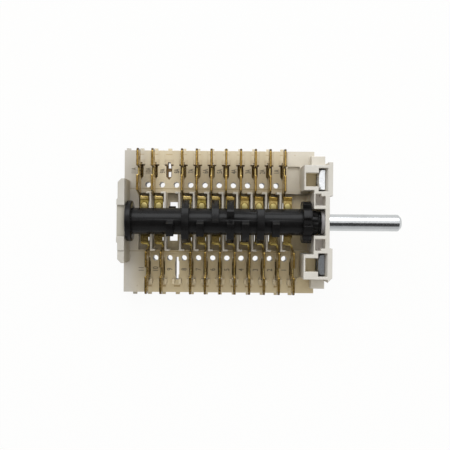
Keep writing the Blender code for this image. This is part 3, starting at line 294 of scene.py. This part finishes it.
def softened(name, node, edge, angle=35.0, smooth_below=0.0, above=-1.0):
    """A copy of a solid of the model, with its outer edges bevelled where they lie above a height."""
    solid = bmesh.new()
    solid.from_mesh(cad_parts[node].data)
    bmesh.ops.remove_doubles(solid, verts=solid.verts, dist=MERGED)
    bmesh.ops.dissolve_limit(solid, angle_limit=FLAT, use_dissolve_boundaries=False,
                             verts=[v for v in solid.verts if v.co.z > above],
                             edges=[e for e in solid.edges if min(v.co.z for v in e.verts) > above])
    solid.normal_update()

    def broad(face, side):
        """Whether a face reaches far enough from an edge to hold its bevel."""
        start = side.verts[0].co
        line = (side.verts[1].co - start).normalized()
        reach = [(v.co - start - line * (v.co - start).dot(line)).length for v in face.verts]
        return max(reach) > BROAD * edge

    corners = [e for e in solid.edges if len(e.link_faces) == 2 and e.calc_length() > LONG * edge
               and min(v.co.z for v in e.verts) > above
               and e.calc_face_angle_signed(0.0) > math.radians(angle)
               and all(broad(face, e) for face in e.link_faces)]
    bmesh.ops.bevel(solid, geom=corners, offset=edge, offset_type="OFFSET", affect="EDGES", segments=2,
                    profile=0.5, material=-1, clamp_overlap=False, loop_slide=False)
    bmesh.ops.triangulate(solid, faces=[f for f in solid.faces if len(f.verts) > 4])
    mesh = bpy.data.meshes.new(name)
    solid.to_mesh(mesh)
    solid.free()
    if smooth_below:
        mesh.shade_smooth()
        mesh.set_sharp_from_angle(angle=math.radians(smooth_below))
    made = bpy.data.objects.new(name, mesh)
    scene.collection.objects.link(made)
    return made


def dress(made, finish, body, slot, *stands_for):
    """Give a piece its finish, its body and the solids that it stands for. The slot is not used."""
    made.data.materials.clear()
    made.data.materials.append(finish)
    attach(made, body)
    if stands_for:
        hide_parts(*stands_for)


# Eleven places lie along the base at one pitch. In each, the upper tab stands a little behind the
# place's middle, and the lower leg a little before it.
PITCH = 0.0053
FIRST_PLACE_X = 0.01085
ROW_OFFSET = 0.00165


def from_place(tree, along_x, offset):
    """The distance in x from the nearest place's middle, shifted by an offset."""
    start = arithmetic(tree, "SUBTRACT", along_x, FIRST_PLACE_X + offset)
    around = arithmetic(tree, "WRAP", start, PITCH / 2, -PITCH / 2)
    return arithmetic(tree, "ABSOLUTE", around)


def painted_shadow_line(along, middle, half=0.00012):
    """The bounds of a fine painted shadow line, where a small step would cast one."""
    return [(along, middle - 2 * half, middle - half), (along, middle + 2 * half, middle + half)]


# Tints on the cream, nearly all of them painted shade or painted light. A tint has its bounds and
# its colour, and a bound is what it follows, the level where it starts and the level where it is
# full. The raised guides by the tabs are tinted a darker yellow.
FAR_CORNER = [("x", 0.0095, 0.0115), ("y", 0.0060, 0.0120)]
LOW = ("z", BASE_TOP + 0.0018, BASE_TOP + 0.0003)
RAISED = ("z", BASE_TOP + 0.0003, BASE_TOP + 0.0018)
AMONG_CONTACTS = ("x", -0.0480, -0.0385)
ON_BASE = [LOW, AMONG_CONTACTS, ("far corner", 1.3, 0.0), ("up", 0.2, 0.6)]
REAR_WALL = [("x", -0.0470, -0.0474), ("z", BASE_TOP + 0.0010, BASE_TOP + 0.0030)]
NUT_BOXES = [("x", 0.0160, 0.0165), ("out", 0.0200, 0.0195), ("z", 0.0185, 0.0150)]
ALONG_HOLES = [LOW, ("x", 0.0105, 0.0104)]
ALONG_PLACES = [LOW, ("x", -0.0449, -0.0448), ("x", 0.0138, 0.0137)]
CREAM_TINTS_AND_PAINTED_LIGHT = {
    # Painted reflection: warm light from the brass, painted yellow on the low base among the contacts,
    # much less in its far front corner.
    "base among the contacts": (ON_BASE, (0.98, 0.895, 0.71)),
    # Painted shade: the near side of the base, where the drum's shadow falls, is a little darker and
    # browner.
    "near side of the base": ([*ON_BASE, ("y", 0.0020, -0.0060)], (0.98, 0.96, 0.88)),
    # Painted shade: the low base by the rear wall is darkened.
    "base by the rear wall": ([LOW, ("x", -0.0385, -0.0480)], (0.80, 0.80, 0.81)),
    "guide ribs": ([AMONG_CONTACTS, ("out", 0.0190, 0.0195), ("x", 0.0145, 0.0140), RAISED],
                   (0.88, 0.80, 0.62)),
    # Painted shade: dark brown in the slots beside the upper tabs.
    "slots of the upper row": ([("y", 0.0149, 0.0151), ("y", 0.0232, 0.0228), ("x", 0.0105, 0.0104),
                                ("x", -0.0460, -0.0459), ("z", BASE_TOP - 0.0003, BASE_TOP - 0.0008)],
                               (0.50, 0.36, 0.19)),
    # Painted shade: the rear wall is darker, and darker still below its top.
    "rear wall": (REAR_WALL, (0.85, 0.85, 0.84)),
    "rear wall below its top": ([*REAR_WALL, ("z", 0.0192, 0.0189)], (0.84, 0.83, 0.79)),
    # Painted shade: the tops of the walls are darker and cooler.
    "tops of the walls": ([("z", 0.0185, 0.0190)], (0.90, 0.915, 0.945)),
    # Painted light: the screw pockets are lightened to tan.
    "screw pockets": ([*NUT_BOXES, ("x", 0.0224, 0.0220), ("out", 0.0122, 0.0124),
                       ("out", 0.0178, 0.0176)], (1.14, 1.05, 0.80)),
    # Painted light: the side pockets are lightened to a cool lilac grey.
    "side pockets": ([*NUT_BOXES, ("x", 0.0182, 0.0184), ("x", 0.0233, 0.0231),
                      ("out", 0.0106, 0.0104)], (1.35, 1.38, 1.52)),
    # Painted light: the low channel by the star wheel is lightened.
    "base by the star wheel": ([LOW, ("x", 0.0120, 0.0126), ("y", 0.0030, 0.0036),
                                ("y", 0.0102, 0.0098)], (1.40, 1.38, 1.32)),
    # Painted shadows: fine dark lines along both rows of holes, where a shallow step would cast them.
    "line along the upper holes": ([*ALONG_HOLES, *painted_shadow_line("y", 0.0121)], (0.74, 0.68, 0.56)),
    "line along the lower holes": ([*ALONG_HOLES, *painted_shadow_line("y", -0.0111)], (0.74, 0.68, 0.56)),
    # Painted shadows: short dark dashes by each upper tab and each lower leg, as the guides would cast.
    "short line by each upper tab": ([*ALONG_PLACES, ("from tab", 0.0013, 0.0011),
                                      *painted_shadow_line("y", 0.0249)], (0.80, 0.72, 0.58)),
    "short line by each lower leg": ([*ALONG_PLACES, ("from leg", 0.0013, 0.0010),
                                      *painted_shadow_line("y", -0.0240, half=0.0002)], (0.62, 0.53, 0.40)),
}

cream = grained_material("cream_polyester", CREAM_LIGHT, CREAM_DARK, roughness=0.48,
                         mottle_scale=110.0, grain_scale=3200.0, bump=0.25)
levels = levels_of(cream.node_tree)
levels["far corner"] = mask_within(cream.node_tree, levels, FAR_CORNER)
levels["from tab"] = from_place(cream.node_tree, levels["x"], -ROW_OFFSET)
levels["from leg"] = from_place(cream.node_tree, levels["x"], ROW_OFFSET)
for bounds, colour in CREAM_TINTS_AND_PAINTED_LIGHT.values():
    paint_tint(cream, levels, bounds, colour)
housing = softened("moulded_housing", "housing", MOULD_EDGE, above=BASE_TOP + 0.0004)
dress(housing, cream, "base", "cream_moulding", "housing")

# Place numbers
# Small grey figures printed on the base beside each place, read with the front wall at the bottom.
# They count the places from the front, and the upper row's have the letter A.
PLACE_COUNT = 11
FIGURE_SIZE = 0.0027
FIGURE_LIFT = 0.00003
FIGURE_THICKNESS = 0.00001
STROKE_GROWTH = 0.00004
INK = (0.15, 0.13, 0.10)
INK_PALE = (0.16, 0.14, 0.11)
# A row has its name, its letter, its narrowing, its shift in x from the place's middle, and its y.
FIGURE_ROWS = (("upper", "A", 0.52, -0.0040, 0.0187), ("lower", "", 0.72, -0.0010, -0.0178))

ink = grained_material("grey_print", INK, INK_PALE, roughness=0.6, mottle_scale=900.0,
                       grain_scale=5000.0, bump=0.1)


def printed_figure(text, name, narrowing, place):
    """A flat printed figure laid on the base."""
    words = bpy.data.curves.new(name, "FONT")
    words.body = text
    words.size = FIGURE_SIZE
    words.align_x = "CENTER"
    words.align_y = "CENTER"
    words.extrude = FIGURE_THICKNESS
    words.offset = STROKE_GROWTH
    holder = bpy.data.objects.new(name + "_text", words)
    mesh = bpy.data.meshes.new_from_object(holder)
    mesh.transform(Matrix.Diagonal((narrowing, 1.0, 1.0, 1.0)))
    bpy.data.objects.remove(holder)
    mesh.transform(Matrix.Translation(place) @ Matrix.Rotation(math.pi / 2, 4, "Z"))
    made = bpy.data.objects.new(name, mesh)
    scene.collection.objects.link(made)
    return made


for number in range(1, PLACE_COUNT + 1):
    middle = FIRST_PLACE_X - PITCH * (number - 1)
    for row, letter, narrowing, shift, reach in FIGURE_ROWS:
        figure = printed_figure(f"{number}{letter}", f"figure_{row}_{number:02d}", narrowing,
                                (middle + shift, reach, BASE_TOP + FIGURE_LIFT))
        dress(figure, ink, "base", "cream_moulding")

# Cam drum
# A black moulding of glass-filled nylon: barrel, rear flange, cam lobes, star wheel and hub in one.
# Its satin skin is slightly mottled all over. It turns in the rear wall and, with the spindle, in
# the front wall.
BLACK_SKIN = (0.0040, 0.0038, 0.0038)
BLACK_RUBBED = (0.0085, 0.0080, 0.0079)
BLACK_SPECULAR = 0.15

black = grained_material("black_nylon", BLACK_RUBBED, BLACK_SKIN, roughness=0.25, mottle_scale=260.0,
                         grain_scale=2600.0, bump=0.35)
black.node_tree.nodes["Principled BSDF"].inputs["Specular IOR Level"].default_value = BLACK_SPECULAR
drum = softened("cam_drum_moulding", "cam_drum", edge=0.00012, angle=30.0, smooth_below=28.0)
dress(drum, black, "drum", "black_moulding", "cam_drum")

# Hub rim and bush
# The drum's front hub ends in a toothed rim of the same black moulding, tapered towards the front
# wall. A plain grey bush between it and the wall stays with the housing, and the spindle passes
# through both. The bush's grey is painted shade, where the front wall's inner face lies in shade.
RIM_TEETH = 14
TOOTH_SHARE = 0.55
FLANK_SHARE = 0.08
TOOTH_DEPTH = 0.00035
RIM_BORE = 0.00310
AXIS_HEIGHT = 0.0151
BUSH_SHADE_LIGHT = (0.24, 0.225, 0.225)
BUSH_SHADE_DARK = (0.19, 0.18, 0.18)
# A ring is its x and its radius, and the rings go from the drum forwards.
RIM_RINGS = [(0.02095, 0.00420), (0.02120, 0.00425), (0.02165, 0.00380)]
BUSH_RINGS = [(0.02180, 0.00430), (0.02190, 0.00440), (0.02292, 0.00440)]


def collar(name, places, depth):
    """A short collar round the spindle from (x, radius) rings, with teeth of the given depth."""
    rim = bmesh.new()

    def point(x, radius, turn):
        """A corner of the collar at a share of a full turn round the spindle."""
        angle = 2 * math.pi * turn
        return rim.verts.new((x, radius * math.cos(angle), AXIS_HEIGHT + radius * math.sin(angle)))

    tooth = ((0.0, 0.0), (TOOTH_SHARE, 0.0), (TOOTH_SHARE + FLANK_SHARE, depth), (1 - FLANK_SHARE, depth))
    rings = [[point(x, radius - cut, (count + share) / RIM_TEETH)
              for count in range(RIM_TEETH) for share, cut in tooth] for x, radius in places]
    around = len(rings[0])
    bores = [[point(x, RIM_BORE, step / around) for step in range(around)]
             for x in (places[0][0], places[-1][0])]
    loops = [bores[0], *rings, bores[1], bores[0]]
    for first, second in zip(loops, loops[1:]):
        for step in range(around):
            after = (step + 1) % around
            rim.faces.new((first[step], first[after], second[after], second[step]))
    bmesh.ops.recalc_face_normals(rim, faces=rim.faces)
    mesh = bpy.data.meshes.new(name)
    rim.to_mesh(mesh)
    rim.free()
    made = bpy.data.objects.new(name, mesh)
    scene.collection.objects.link(made)
    return made


dress(collar("hub_rim", RIM_RINGS, TOOTH_DEPTH), black, "drum", "black_moulding")
# The bush's grey stands in for shade: painted shade.
grey = grained_material("painted_shade_grey", BUSH_SHADE_LIGHT, BUSH_SHADE_DARK, roughness=0.5, mottle_scale=300.0,
                        grain_scale=2600.0, bump=0.2)
dress(collar("front_bush_in_painted_shade", BUSH_RINGS, 0.0), grey, "base", "cream_moulding")

# Spindle
# Free-cutting steel bar, 6 mm, turned and bright zinc plated. It is pressed into the drum and its
# free end has a chamfer and a flat on the lower side for the knob.
ZINC_BRIGHT = (0.61, 0.625, 0.63)
ZINC_DULL = (0.53, 0.545, 0.55)

zinc = grained_material("bright_zinc", ZINC_BRIGHT, ZINC_DULL, roughness=0.20, mottle_scale=160.0,
                        grain_scale=2200.0, bump=0.04, metallic=1.0)
shaft = softened("plated_spindle", "spindle", edge=0.00015, angle=30.0, smooth_below=12.0)
dress(shaft, zinc, "drum", "zinc_plate", "spindle")

# Square nuts
# Two pressed and plated M4 nuts, dropped into the slots of the nut boxes from the open side. The
# lower one is tinted dark: painted shade, where it mirrors the dim near side of the room.
NUT_BRIGHT = (0.92, 0.93, 0.94)
NUT_DULL = (0.74, 0.76, 0.78)
# Painted shade on the lower nut.
LOWER_NUT = [("y", 0.001, -0.001)]
LOWER_NUT_SHADE = (0.20, 0.205, 0.21)

nut_zinc = grained_material("plated_nut", NUT_BRIGHT, NUT_DULL, roughness=0.24, mottle_scale=900.0,
                            grain_scale=2600.0, bump=0.5, metallic=0.35)
paint_tint(nut_zinc, levels_of(nut_zinc.node_tree), LOWER_NUT, LOWER_NUT_SHADE)
for side in ("upper", "lower"):
    nut = softened(f"square_nut_{side}", f"nut_{side}", edge=0.00015, angle=30.0)
    dress(nut, nut_zinc, "base", "nut_steel", f"nut_{side}")

# Terminals
# Blade terminals stamped from 0.8 mm brass strip and pushed into the slots of the base. Stamping
# rounds their edges a little. Their rounded sides, top edges and tips are painted darker, as shade.
BRASS_BRIGHT = (0.72, 0.56, 0.23)
BRASS_TARNISHED = (0.36, 0.25, 0.07)
SHEET_EDGE = 0.00018
TONGUE_TOP = 0.00705
RIVET_Y = 0.0057
EMPTY_PLACE = 9

# The tongues are flattened. Painted shade and painted reflection: the rear tongues are tinted olive,
# the front folds are darker, a dark line lies before each fold, and a dark ring round each rivet
# stands in for the shade of a groove.
LOW_SHEET = ("z", TONGUE_TOP + 0.0005, TONGUE_TOP + 0.0003)
ON_TONGUE = [LOW_SHEET, ("y", 0.0, 0.0001)]
FLATTENED = ("y", 0.0084, 0.0081)
FOLD = ("y", 0.0081, 0.0084)
BRASS_PAINTED_SHADE = {
    "rolled sides": ([("sideways", 0.25, 0.36), ("z", 0.0071, 0.0078), ("sideways", 0.97, 0.93)],
                     (0.22, 0.16, 0.09)),
    "cut edges on top": ([("up", 0.80, 0.95), ("z", 0.0118, 0.0124)], (0.80, 0.70, 0.54)),
    "tips of the tabs": ([("out", 0.0249, 0.0256)], (0.22, 0.17, 0.12)),
    "rear tongues": ([*ON_TONGUE, FLATTENED, ("x", -0.0080, -0.0200)], (0.78, 0.80, 0.56)),
    "front folds": ([*ON_TONGUE, FOLD, ("x", -0.0200, -0.0080)], (0.55, 0.48, 0.32)),
    "crease before the fold": ([*ON_TONGUE, FLATTENED, ("y", 0.0077, 0.0080)], (0.40, 0.33, 0.20)),
    "painted ring round each rivet": ([*ON_TONGUE, ("from rivet", 0.00150, 0.00138)], (0.42, 0.35, 0.22)),
}
# Painted light: the turned-in roots lie low in the drum's shadow and are lightened by a tint, and
# their finish is made less metallic, like a dull metal.
ON_ROOT = [LOW_SHEET, ("y", -0.0116, -0.0112), ("y", -0.0076, -0.0078)]
ROOT_PAINTED_LIGHT = (1.38, 1.40, 1.05)
ROOT_METALLIC = 0.25

brass = grained_material("stamped_brass", BRASS_BRIGHT, BRASS_TARNISHED, roughness=0.27,
                         mottle_scale=420.0, grain_scale=2600.0, bump=0.35, metallic=1.0)
tree = brass.node_tree
levels = levels_of(tree)
to_rivet = tree.nodes.new("ShaderNodeCombineXYZ")
tree.links.new(from_place(tree, levels["x"], 0.0), to_rivet.inputs["X"])
tree.links.new(arithmetic(tree, "SUBTRACT", levels["y"], RIVET_Y), to_rivet.inputs["Y"])
distance = tree.nodes.new("ShaderNodeVectorMath")
distance.operation = "LENGTH"
tree.links.new(to_rivet.outputs["Vector"], distance.inputs[0])
levels["from rivet"] = distance.outputs["Value"]
for bounds, colour in BRASS_PAINTED_SHADE.values():
    paint_tint(brass, levels, bounds, colour)
on_root = paint_tint(brass, levels, ON_ROOT, ROOT_PAINTED_LIGHT)
tree.links.new(spread(tree, on_root, 0.0, 1.0, low=1.0, high=ROOT_METALLIC),
               tree.nodes["Principled BSDF"].inputs["Metallic"])

# Each leg is crimped wider at its foot, which holds the terminal in its slot. FOOT_PLACES gives the
# side of the place's middle, in x, and the two ends of the foot, in y.
FOOT_HALF_WIDTH = 0.00065
FOOT_HEIGHTS = (0.0008, 0.0018)
FOOT_PLACES = {"fixed": (-1, 0.0159, 0.0216), "spring": (1, -0.0212, -0.0136)}


def add_block(made, width, depth, height):
    """Add a plain block to a piece's mesh, between pairs of x, y and z."""
    shape = bmesh.new()
    shape.from_mesh(made.data)
    sizes = [high - low for low, high in (width, depth, height)]
    middle = [(high + low) / 2 for low, high in (width, depth, height)]
    place = Matrix.Translation(middle) @ Matrix.Diagonal((*sizes, 1.0))
    bmesh.ops.create_cube(shape, size=1.0, matrix=place)
    shape.to_mesh(made.data)
    shape.free()


filled_places = [number for number in range(1, PLACE_COUNT + 1) if number != EMPTY_PLACE]
for number in filled_places:
    for row, (side, start, end) in FOOT_PLACES.items():
        blade = softened(f"{row}_blade_terminal_{number:02d}", f"{row}_terminal_{number:02d}", SHEET_EDGE)
        middle = FIRST_PLACE_X - PITCH * (number - 1) + side * ROW_OFFSET
        add_block(blade, (middle - FOOT_HALF_WIDTH, middle + FOOT_HALF_WIDTH), (start, end), FOOT_HEIGHTS)
        dress(blade, brass, "base", "brass_sheet", f"{row}_terminal_{number:02d}")

# Contact springs and rivets
# Thin rolled spring strip, brighter than the terminals, with plated rivets as contact faces. Each
# strip has a narrow wing on its front side, where it rises from its root to the hump.
WING_INNER = 0.00140
WING_OUTER = 0.00190
WING_PROFILE = [(-0.0059, 0.00558), (-0.0054, 0.00558), (-0.0016, 0.00660), (-0.0016, 0.00685),
                (-0.0054, 0.00583), (-0.0059, 0.00583)]
STRIP_BRIGHT = (0.76, 0.61, 0.27)
STRIP_DULL = (0.46, 0.34, 0.11)
# Painted shade: the strip is darker towards its root, where the drum's shadow lies.
STRIP_ROOT = [("y", -0.0020, -0.0026)]
STRIP_SHADE_TINT = (0.40, 0.36, 0.28)
CONTACT_BRIGHT = (0.64, 0.55, 0.24)
CONTACT_DULL = (0.47, 0.38, 0.14)


def add_wing(made, inner, outer):
    """Add the wing to a contact spring, as a plate with the strip's own slope."""
    shape = bmesh.new()
    shape.from_mesh(made.data)
    sides = [[shape.verts.new((x, y, z)) for y, z in WING_PROFILE] for x in (inner, outer)]
    faces = [shape.faces.new(sides[0]), shape.faces.new(reversed(sides[1]))]
    for step in range(len(WING_PROFILE)):
        after = (step + 1) % len(WING_PROFILE)
        faces.append(shape.faces.new((sides[0][step], sides[1][step], sides[1][after], sides[0][after])))
    bmesh.ops.recalc_face_normals(shape, faces=faces)
    shape.to_mesh(made.data)
    shape.free()


strip = grained_material("spring_strip", STRIP_BRIGHT, STRIP_DULL, roughness=0.22, mottle_scale=500.0,
                         grain_scale=2600.0, bump=0.3, metallic=1.0)
paint_tint(strip, levels_of(strip.node_tree), STRIP_ROOT, STRIP_SHADE_TINT)
contact = grained_material("plated_contact", CONTACT_BRIGHT, CONTACT_DULL, roughness=0.40,
                           mottle_scale=900.0, grain_scale=2600.0, bump=0.3, metallic=1.0)
for number in filled_places:
    blade = softened(f"contact_spring_{number:02d}", f"spring_blade_{number:02d}", edge=0.00005)
    middle = FIRST_PLACE_X - PITCH * (number - 1)
    add_wing(blade, middle + WING_INNER, middle + WING_OUTER)
    dress(blade, strip, "base", "spring_brass", f"spring_blade_{number:02d}")
    for row in ("fixed", "moving"):
        rivet = softened(f"{row}_contact_rivet_{number:02d}", f"{row}_rivet_{number:02d}",
                         edge=0.00008, angle=30.0, smooth_below=40.0)
        dress(rivet, contact, "base", "contact_metal", f"{row}_rivet_{number:02d}")

# Detent ball and spring
# A hardened steel ball on a short spring of drawn wire, in a well of the base under the star wheel.
# The spring holds the ball in the wheel's notches. Both keep the shape that the model gives them.
BALL_BRIGHT = (0.66, 0.67, 0.69)
BALL_DULL = (0.56, 0.57, 0.59)
WIRE_BRIGHT = (0.46, 0.46, 0.48)
WIRE_DULL = (0.34, 0.34, 0.36)


def cover(node, finish):
    """Give a solid of the model that stays as it is a finish."""
    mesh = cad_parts[node].data
    mesh.materials.clear()
    mesh.materials.append(finish)


polished = grained_material("hardened_ball", BALL_BRIGHT, BALL_DULL, roughness=0.14, mottle_scale=300.0,
                            grain_scale=2000.0, bump=0.05, metallic=1.0)
wire = grained_material("drawn_wire", WIRE_BRIGHT, WIRE_DULL, roughness=0.30, mottle_scale=600.0,
                        grain_scale=2600.0, bump=0.2, metallic=1.0)
cover("detent_ball", polished)
cover("detent_spring", wire)
